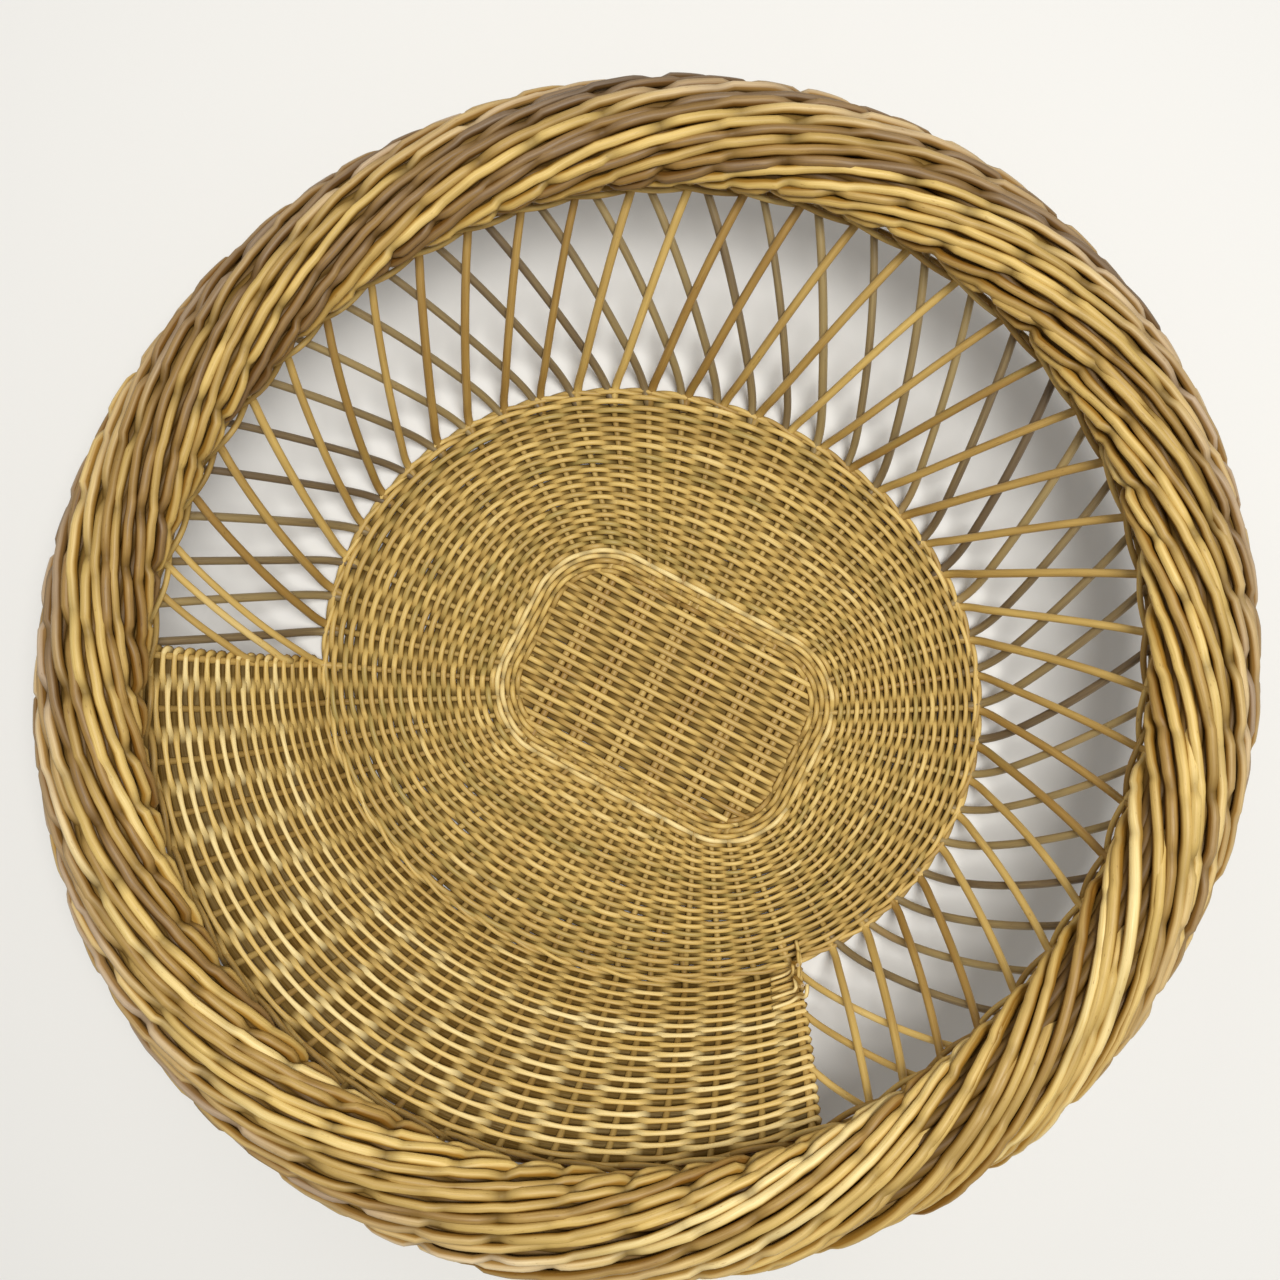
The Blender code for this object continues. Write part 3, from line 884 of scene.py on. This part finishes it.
LATTICE_PAIRS = STAKE_PLACES - PANEL_PITCHES - 1
LEG_POINTS = 30
LEG_STATIONS = (0.05, 0.18, 0.36, 0.54, 0.72, 0.88, 1.0)
LEG_BOW = 0.0007
LEG_TAPER = (1.04, 0.94)
# Painted shade at a lattice rod's ends, where it runs under other rods: most, fall and limit
LEG_SHADE = (0.45, 6.0, 0.4)
INNER_TONES = (0.52, 0.95)
INNER_THICKNESS = (1.06, 1.22)
OUTER_TONES = (0.0, 0.34)
OUTER_THICKNESS = (1.04, 1.20)
OUTER_GREY = 0.45
# How far inside the floor's edge, how much of the lean before the foot, and how high
FOOT_KEYS = ((0.011, 0.085, 0.0), (0.0005, 0.034, 0.0010))
HEAD_TURN = 0.04
HEAD_IN = 0.013
HEAD_RISE = 0.018
CLIPPED_RUN_IN = 0.03
CLIPPED_DEPTH = 0.6
CLIPPED_TURN = 0.5
CLIPPED_TONES = (0.5, 0.8)
CLIPPED_SHARE = 0.48
EDGE_STAKE_TONE = 0.45
STAKE_ROOT = 0.020


def head_point(angle, turn=0.0):
    """Where a stake or a lattice rod ends, inside the border."""
    return around(angle + turn, border_line(angle) - HEAD_IN, HEAD_HEIGHT + HEAD_RISE)


def leg_path(start_angle, lean, layer, start=0.0):
    """A rod from the floor's edge, or from a place up the panel's edge, up the wall and into the border."""
    keys = []
    if start == 0.0:
        for inside, turned, rise in FOOT_KEYS:
            angle = start_angle - turned * lean
            keys.append(base_point(angle, base_edge(angle) - inside, BASE_MIDDLE + rise))
    else:
        depth = CLIPPED_DEPTH * layer * LAYER_OFFSET
        keys.append(wall_point(start_angle, start - CLIPPED_RUN_IN, depth))
    for station in LEG_STATIONS:
        place = start + (1.0 - start) * station
        share = min(1.0, (place - start) / LAYER_RUN_UP)
        turn = lean * (lean_share(place) - lean_share(start))
        keys.append(wall_point(start_angle + turn, place, layer * LAYER_OFFSET * share))
    head_angle = start_angle + lean * (1.0 - lean_share(start))
    keys.append(head_point(head_angle, HEAD_TURN * lean))
    return smooth_path(keys, LEG_POINTS)


def add_leg(rods, draw, path, tone, thickness, grey=0.0):
    """A lattice rod, slightly bowed and tapered, with painted shade towards both ends where it runs under
    other rods.
    """
    run = np.linspace(0.0, 1.0, len(path))
    bow = np.sin(math.pi * run)[:, None]
    path = path + bow * draw.normal(0.0, LEG_BOW, 3)
    radius = thickness * np.linspace(*LEG_TAPER, len(path))
    most, fall, limit = LEG_SHADE
    hollow = np.clip(most - fall * np.minimum(run, 1.0 - run), 0.0, limit)
    rods.add(path, radius, tone, draw.rand(), hollow=hollow, grey=grey)


def build_lattice(materials):
    draw = np.random.RandomState(15)
    for number in range(1, LATTICE_PAIRS + 1):
        angle = PANEL_START_ANGLE + (PANEL_PITCHES + number) * PITCH
        spread = math.degrees(PAIR_FOOT_SPREAD / base_edge(angle))
        shift = foot_shift(angle)
        inner_lean = lattice_lean(INNER_LEAN, number) + shift
        outer_lean = lattice_lean(OUTER_LEAN, LATTICE_PAIRS + 1 - number) - shift
        rods = Rods(f"lattice_rods_{number:02d}")
        inner = leg_path(angle + shift - spread, spread - inner_lean, -1.0)
        outer = leg_path(angle + shift + spread, outer_lean - spread, 1.0)
        tone = draw.uniform(*INNER_TONES)
        add_leg(rods, draw, inner, tone, 0.5 * STAKE * draw.uniform(*INNER_THICKNESS))
        tone = draw.uniform(*OUTER_TONES)
        add_leg(rods, draw, outer, tone, 0.5 * STAKE * draw.uniform(*OUTER_THICKNESS), OUTER_GREY)
        rods.build(materials, "lattice", f"lattice_pair_{number:02d}")


def stake_path(index, place, count):
    """A panel stake from inside the floor, up the wall and into the border."""
    angle = panel_stake_angle(index, place)
    keys = [base_point(angle[0], base_edge(angle[0]) - STAKE_ROOT, BASE_MIDDLE)]
    keys += list(wall_point(angle, place))
    keys.append(head_point(angle[-1]))
    return smooth_path(keys, count)


def build_edge_stake(materials, draw, side, index, starts, lean, layer):
    """An edge stake of the panel with the lattice rods that start from it."""
    rods = Rods(f"{side}_edge_rods")
    path = stake_path(index, np.linspace(0.0, 1.0, 9), LEG_POINTS)
    rods.add(path, 0.5 * STAKE, EDGE_STAKE_TONE, draw.rand())
    for start in starts:
        start_angle = panel_stake_angle(index, start) + layer * CLIPPED_TURN
        path = leg_path(start_angle, lean, layer, start)
        add_leg(rods, draw, path, draw.uniform(*CLIPPED_TONES), CLIPPED_SHARE * STAKE)
    rods.build(materials, "stakes", f"{side}_edge_stake")


def build_edge_stakes(materials):
    draw = np.random.RandomState(18)
    build_edge_stake(materials, draw, "left", 0, LEFT_CLIPPED_STARTS, -INNER_LEAN, -1.0)
    build_edge_stake(materials, draw, "right", PANEL_PITCHES, RIGHT_CLIPPED_STARTS, OUTER_LEAN, 1.0)


# ---------------- dense panel

PANEL_BOTTOM = -0.05
PANEL_TOP = 0.985
PANEL_ROWS = 35
PANEL_ROW_POWER = 0.84
PANEL_STEPS = 6
PANEL_WAVE = 0.0023
PANEL_SAG = 0.62
PANEL_LEAST_OUT = 0.5
# A stroke's half width in front of a stake. Behind one it is wider by twice the widening.
PANEL_WEAVER = 0.0016
PANEL_WIDENING = 0.60
PANEL_THICKNESS = (0.94, 1.05)
PANEL_FLAT = 0.66
PANEL_TONES = (0.46, 0.94)
# Painted shade on the weaver all round, and on the strokes that lie behind the stakes
PANEL_SHADE = 0.36
PANEL_SUNK_SHADE = 1.20
PANEL_SKYWARD = 0.75
PANEL_DRIFT = 0.0011
DRIFT_WAVES = (0.5, 1.1)
PANEL_STAKE_SHARE = 0.95
PANEL_STAKE_START = -0.02
PANEL_STAKE_POINTS = 26
PANEL_STAKE_TONES = (0.30, 0.52)
# Painted shade all round the panel stakes
PANEL_STAKE_SHADE = 0.50
TURN_STEPS = 7
TURN_REACH = 0.0043
LOOSE_ENDS = (0.05, 0.09, 0.14, 0.20, 0.27)
LOOSE_END_LENGTHS = (0.9, 2.2)
LOOSE_END_ROD = 0.0014
LOOSE_END_POINTS = 16
LOOSE_END_SIDES = 6
LOOSE_END_TONES = (0.6, 0.95)
# A loose end's points in the weave: pitches from the edge, and depth inside the wall
LOOSE_END_ROOT = ((-0.6, -0.003), (-0.15, -0.004))
# Its points beyond the edge: degrees per length, depth inside the wall, and how far up or down
LOOSE_END_KEYS = ((0.45, -0.007, (-0.02, 0.03)), (1.2, -0.012, (-0.06, 0.08)), (1.9, -0.016, (-0.12, 0.12)))


def panel_row_place(row):
    share = ((row + 0.5) / PANEL_ROWS) ** PANEL_ROW_POWER
    return PANEL_BOTTOM + (PANEL_TOP - PANEL_BOTTOM) * share


def panel_point(angle, place, layer):
    """A point of the weave. Behind a stake a row sits lower than in front of it, which closes the weave."""
    _, _, out, rise = wall_frame(angle, place)
    sag = PANEL_SAG * PANEL_WAVE * layer * rise / np.maximum(out, PANEL_LEAST_OUT)
    down = around(angle, -out * sag, -rise * sag)
    return wall_point(angle, place, PANEL_WAVE * layer) + down


def panel_track(draw):
    """The whole panel as one weaver going to and fro. Returns stake index, place, layer and row along it."""
    index, place, layer, row_of = [], [], [], []
    for row in range(PANEL_ROWS):
        here = panel_row_place(row)
        steps = np.arange(PANEL_PITCHES * PANEL_STEPS + 1) / PANEL_STEPS
        drift = PANEL_DRIFT * np.sin(steps * draw.uniform(*DRIFT_WAVES) + draw.uniform(*ANY_PHASE))
        fade = np.clip(np.minimum(steps, PANEL_PITCHES - steps), 0.0, 1.0)
        if row % 2 == 1:
            steps = steps[::-1]
        side = -squared(math.pi * (steps + row), WEAVE_SHARPNESS)
        index.append(steps)
        place.append(here + drift * fade)
        layer.append(side)
        row_of.append(np.full(len(steps), row))
        if row < PANEL_ROWS - 1:
            sweep = np.linspace(0.0, math.pi, TURN_STEPS + 2)[1:-1]
            angle = panel_stake_angle(steps[-1], here)
            reach = math.degrees(TURN_REACH / wall_profile(angle, here)[0]) / PITCH
            direction = 1.0 if row % 2 == 0 else -1.0
            index.append(steps[-1] + direction * reach * np.sin(sweep))
            place.append(here + (panel_row_place(row + 1) - here) * (0.5 - 0.5 * np.cos(sweep)))
            layer.append(side[-1] * np.cos(sweep))
            row_of.append(np.full(TURN_STEPS, row))
    return np.concatenate(index), np.concatenate(place), np.concatenate(layer), np.concatenate(row_of)


def build_panel(materials):
    draw = np.random.RandomState(16)
    index, place, layer, row_of = panel_track(draw)
    angle = panel_stake_angle(index, place)
    path = panel_point(angle, place, layer)
    tone = draw.uniform(*PANEL_TONES, PANEL_ROWS)[row_of]
    seed = draw.rand(PANEL_ROWS)[row_of]
    radius = PANEL_WEAVER * draw.uniform(*PANEL_THICKNESS, PANEL_ROWS)[row_of]
    radius *= 1.0 + PANEL_WIDENING * (1.0 + layer)
    outward = unit(PANEL_SKYWARD * UP - wall_outward(angle, place))
    weaver = Rods("panel_weavers")
    # Painted shade all round, and on the strokes that pass behind a stake
    weaver.add(path, radius, tone, seed, outward=outward, flat=PANEL_FLAT, hollow=PANEL_SHADE,
               sunk_shade=PANEL_SUNK_SHADE * layer)
    add_loose_ends(weaver, draw)
    weaver.build(materials, "panel_weave", "front_weave")
    for number in range(1, PANEL_PITCHES):
        build_panel_stake(materials, draw, number)


def build_panel_stake(materials, draw, number):
    stake = Rods(f"panel_stake_{number:02d}")
    path = stake_path(number, np.linspace(PANEL_STAKE_START, 1.0, 12), PANEL_STAKE_POINTS)
    radius = 0.5 * PANEL_STAKE_SHARE * STAKE
    # Painted shade all round the stake
    stake.add(path, radius, draw.uniform(*PANEL_STAKE_TONES), draw.rand(), hollow=PANEL_STAKE_SHADE)
    stake.build(materials, "stakes", f"front_stake_{number:02d}")


def add_loose_ends(rods, draw):
    """Broken weaver ends that stand away from the panel's right edge, low down."""
    for start in LOOSE_ENDS:
        angle = panel_stake_angle(PANEL_PITCHES, start)
        length = draw.uniform(*LOOSE_END_LENGTHS)
        keys = [wall_point(angle + turn * PITCH, start, depth) for turn, depth in LOOSE_END_ROOT]
        for turn, depth, spread in LOOSE_END_KEYS:
            keys.append(wall_point(angle + turn * length, start + draw.uniform(*spread), depth))
        tone = draw.uniform(*LOOSE_END_TONES)
        rods.add(smooth_path(keys, LOOSE_END_POINTS), LOOSE_END_ROD, tone, draw.rand(), sides=LOOSE_END_SIDES)


# ---------------- border

BORDER_RODS = 78
LOOSE_EXTRA_RODS = 7
ROD = 0.0060
ROD_THICKNESS = (0.88, 1.12)
ROD_TAPER = (1.07, 0.87)
LOOSE_WIDENING = 0.14
RUN_COSINE = 1.51
RUN_LINEAR = 2.82
INNER_START = 236.0
LOOSE_START = 128.0
START_SCATTER = (-8.0, 8.0)
OUTER_END = -60.0
END_SCATTER = (-16.0, 14.0)
LOOSE_END_RISE = 36.0
LOOSE_UPRIGHTING = 0.40
PLACE_SCATTER = 0.07
LOOSE_SCATTER = 0.10
LIFT_SCATTER = 0.0006
WOBBLE = (0.4, 1.2)
WOBBLE_WAVES = (1.2, 2.6)
LOOSE_CALM = 0.6
PATH_POINTS = 120
HOLE_SPACING = 25.0
HOLE_FIRST = 102.0
HOLE_PLACE = 0.35
HOLE_SHARPNESS = 0.9
HOLE_PUSH = 1.8
HOLE_DIP = 0.0044
LOOSE_HOLE_SHARE = 0.25
GROOVE_PHI = 82.0
GROOVE_WIDTH = 13.0
GROOVE_DEPTH = 0.0012
# Where a rod tucks or dives in, or springs out: the bend's angle and width, or share of the run, and depth
TUCK_PHI, TUCK_WIDTH, TUCK_DEPTH = 180.0, 50.0, 0.0030
DIVE_RUN, DIVE_DEPTH = 0.14, 0.0090
SPRING_PHI, SPRING_WIDTH, SPRING_MOST = 60.0, 70.0, 0.009
WEATHER_WIDTH = 30.0
WEATHER_GREY = (0.2, 1.1)
BORDER_TONES = (0.10, 0.82)
# How much lighter the tone is on the rim's brighter side and on loose rods, and that side's angle
LIGHTER = 0.06
BRIGHT_ANGLE = 305.0
# Painted shade in the plait's holes, in the groove and on the border's inner side, and the most of it
HOLE_SHADE, GROOVE_SHADE, INSIDE_SHADE, MOST_SHADE = 0.80, 0.25, 0.35, 0.9
INSIDE_PHI, INSIDE_WIDTH = 185.0, 30.0
LOOSE_ANGLE = 342.0
LOOSE_SPREAD = 36.0
CORE_RINGS = 20
CORE_POINTS = 120
CORE_INSET = 0.0104
CORE_ROD = 0.0084
# Core rods get low tones and strong painted shade, standing for the shadowed inside of the border seen
# through the holes
CORE_TONES = (0.05, 0.35)
CORE_SHADE = 0.70


def looseness(angle):
    """1 where the border has come loose, falling to 0 away from there."""
    away = np.mod(angle - LOOSE_ANGLE + 180.0, 360.0) - 180.0
    return np.exp(-((away / LOOSE_SPREAD) ** 2))


def pitches_run(phi):
    """Stake pitches that a border rod has run round the rim at phi, counted from the top."""
    return RUN_COSINE * np.cos(np.radians(np.clip(phi, 0.0, 180.0))) + RUN_LINEAR * (90.0 - phi) / 90.0


def border_point(angle, phi, lift):
    """A point of the border's section. Phi is 0 on the outside, 90 on top and 180 on the inside."""
    turn = np.radians(phi)
    radius = border_line(angle) + (BORDER_HALF_WIDTH + lift) * np.cos(turn)
    height = BORDER_MIDDLE + (BORDER_HALF_HEIGHT + lift) * np.sin(turn)
    return around(angle, radius, height)


def border_outward(angle, phi):
    turn = np.radians(phi)
    return unit(around(angle, BORDER_HALF_HEIGHT * np.cos(turn), BORDER_HALF_WIDTH * np.sin(turn)))


def border_holes(angle, phi):
    """The plait's dark holes: strength of the nearest column of them, and the phase between its rows."""
    column = np.exp(HOLE_SHARPNESS * (np.cos(2.0 * math.pi * (angle / PITCH - HOLE_PLACE)) - 1.0))
    row = 2.0 * math.pi * (phi - HOLE_FIRST) / HOLE_SPACING
    return column, row


def add_border_rod(rods, draw, place, inner_start):
    """A rod that starts at the inner side, runs slanting over the top and ends under the outer edge."""
    loose = float(looseness(place))
    plaited = 1.0 - loose
    start = inner_start + draw.uniform(*START_SCATTER)
    end = OUTER_END + draw.uniform(*END_SCATTER) + loose * LOOSE_END_RISE * draw.uniform(0.0, 1.0) ** 2
    phi = np.linspace(start, end, PATH_POINTS)
    run = np.linspace(0.0, 1.0, PATH_POINTS)
    slant = 1.0 - LOOSE_UPRIGHTING * loose
    scatter = draw.normal(0.0, PLACE_SCATTER + LOOSE_SCATTER * loose)
    angle = place + (scatter - slant * pitches_run(phi)) * PITCH
    column, row = border_holes(angle, phi)
    size = (1.0 - LOOSE_CALM * loose) * draw.uniform(*WOBBLE)
    wobble = size * np.sin(np.radians(phi) * draw.uniform(*WOBBLE_WAVES) + draw.uniform(*ANY_PHASE))
    shifted = phi + plaited * HOLE_PUSH * column * np.sin(row) + wobble
    hole_share = LOOSE_HOLE_SHARE + (1.0 - LOOSE_HOLE_SHARE) * plaited
    hole = hole_share * column * np.clip(np.cos(row), 0.0, 1.0)
    groove = np.exp(-(((phi - GROOVE_PHI) / GROOVE_WIDTH) ** 2))
    radius = 0.5 * ROD * draw.uniform(*ROD_THICKNESS) * (1.0 + LOOSE_WIDENING * loose)
    tuck = TUCK_DEPTH * np.clip((phi - TUCK_PHI) / TUCK_WIDTH, 0.0, 1.0)
    dive = DIVE_DEPTH * np.clip(1.0 - run / DIVE_RUN, 0.0, 1.0)
    outside = np.clip((SPRING_PHI - phi) / SPRING_WIDTH, 0.0, 1.0)
    spring = loose * draw.uniform(0.0, SPRING_MOST) * outside**2
    depth = radius + HOLE_DIP * hole + GROOVE_DEPTH * groove + tuck + dive
    lift = spring - depth + draw.normal(0.0, LIFT_SCATTER)
    # Painted light and shade: tone raised on the rim's side towards the bright angle and lowered opposite, as
    # if light fell from there; loose rods get a lighter tone as well
    painted_light = math.cos(math.radians(place - BRIGHT_ANGLE))
    tone = draw.uniform(*BORDER_TONES) + LIGHTER * (painted_light + loose)
    seed = draw.rand()
    weathered = plaited * np.clip((GROOVE_PHI - phi) / WEATHER_WIDTH, 0.0, 1.0)
    grey = np.clip(draw.uniform(*WEATHER_GREY) * weathered, 0.0, 1.0)
    inside = np.clip((phi - INSIDE_PHI) / INSIDE_WIDTH, 0.0, 1.0)
    # Painted shade in the holes, in the groove and on the inner side
    shade_amount = HOLE_SHADE * hole + GROOVE_SHADE * groove + INSIDE_SHADE * inside
    rods.add(border_point(angle, shifted, lift), radius * np.linspace(*ROD_TAPER, PATH_POINTS), tone, seed,
             outward=border_outward(angle, shifted), hollow=np.clip(shade_amount, 0.0, MOST_SHADE), grey=grey)


def build_border(materials):
    draw = np.random.RandomState(17)
    rods = Rods("border_rods")
    for index in range(BORDER_RODS):
        add_border_rod(rods, draw, PANEL_START_ANGLE + index * 360.0 / BORDER_RODS, INNER_START)
    for index in range(LOOSE_EXTRA_RODS):
        share = (index + 0.5) / LOOSE_EXTRA_RODS - 0.5
        add_border_rod(rods, draw, LOOSE_ANGLE + 2.0 * LOOSE_SPREAD * share, LOOSE_START)
    rods.build(materials, "border", "border")

    core = Rods("border_core_rods")
    angle = np.arange(CORE_POINTS) * 360.0 / CORE_POINTS
    for index in range(CORE_RINGS):
        phi = 360.0 * index / CORE_RINGS + wavy(draw, angle, (1, 2, 5), 7.0)
        path = border_point(angle, phi, wavy(draw, angle, (3, 8), 0.0010) - CORE_INSET)
        # Low tones and painted shade: the shadowed inside of the border
        core.add(path, 0.5 * CORE_ROD, draw.uniform(*CORE_TONES), draw.rand(),
                 outward=border_outward(angle, phi), closed=True, hollow=CORE_SHADE)
    core.build(materials, "border", "border")


# ---------------- surroundings

CAMERA_PLACE = Vector((-0.0035, 0.0139, 0.8782))
CAMERA_LOOK = Vector((-0.0121, 0.0046, -0.9999))
IMAGE_UP_ANGLE = 117.5
SENSOR_WIDTH = 36.0
LENS = 36.0
FLOOR_SIZE = 60.0
FLOOR_COLOUR = (0.80, 0.80, 0.79, 1.0)
FLOOR_ROUGHNESS = 0.85
KEY_LIGHT = {"place": (0.28, 0.20, 2.1), "size": 0.8, "power": 37.0, "colour": (1.0, 0.98, 0.94)}
FILL_LIGHT = {"place": (-1.6, 1.2, 1.3), "size": 1.6, "power": 8.0, "colour": (1.0, 0.97, 0.93)}
LIGHT_UP = Vector((0.0, 1.0, 0.1))
SKY_COLOUR = (1.0, 0.985, 0.95, 1.0)
SKY_STRENGTH = 0.34


def look_matrix(place, look, up):
    backward = -look.normalized()
    right = up.cross(backward).normalized()
    upward = backward.cross(right)
    turn = Matrix((right, upward, backward)).transposed()
    return Matrix.Translation(place) @ turn.to_4x4()


def add_camera():
    data = bpy.data.cameras.new("camera")
    data.sensor_width = SENSOR_WIDTH
    data.lens = LENS
    camera = bpy.data.objects.new("camera", data)
    bpy.context.scene.collection.objects.link(camera)
    up = Vector(around(IMAGE_UP_ANGLE, 1.0, 0.0))
    camera.matrix_world = look_matrix(CAMERA_PLACE, CAMERA_LOOK, up)
    bpy.context.scene.camera = camera


def add_area_light(name, place, size, power, colour):
    data = bpy.data.lights.new(name, "AREA")
    data.shape = "DISK"
    data.size = size
    data.energy = power
    data.color = colour
    light = bpy.data.objects.new(name, data)
    bpy.context.scene.collection.objects.link(light)
    aim = -Vector(place).normalized()
    light.matrix_world = look_matrix(Vector(place), aim, LIGHT_UP)


def add_surroundings():
    material, _, shader = new_material("pale floor")
    shader.inputs["Base Color"].default_value = FLOOR_COLOUR
    shader.inputs["Roughness"].default_value = FLOOR_ROUGHNESS
    mesh = bpy.data.meshes.new("studio_floor")
    half = 0.5 * FLOOR_SIZE
    corners = [(-half, -half, 0.0), (half, -half, 0.0), (half, half, 0.0), (-half, half, 0.0)]
    mesh.from_pydata(corners, [], [(0, 1, 2, 3)])
    mesh.materials.append(material)
    ground = bpy.data.objects.new("studio_floor", mesh)
    bpy.context.scene.collection.objects.link(ground)
    add_area_light("key light", **KEY_LIGHT)
    add_area_light("fill light", **FILL_LIGHT)
    world = bpy.data.worlds.new("studio")
    world.use_nodes = True
    background = world.node_tree.nodes["Background"]
    background.inputs["Color"].default_value = SKY_COLOUR
    background.inputs["Strength"].default_value = SKY_STRENGTH
    bpy.context.scene.world = world
    bpy.context.scene.view_settings.view_transform = "Standard"


def main():
    materials = make_materials()
    build_floor(materials)
    build_mat(materials)
    build_foot_wale(materials)
    build_lattice(materials)
    build_edge_stakes(materials)
    build_panel(materials)
    build_top_wale(materials)
    build_border(materials)
    add_surroundings()
    add_camera()


main()
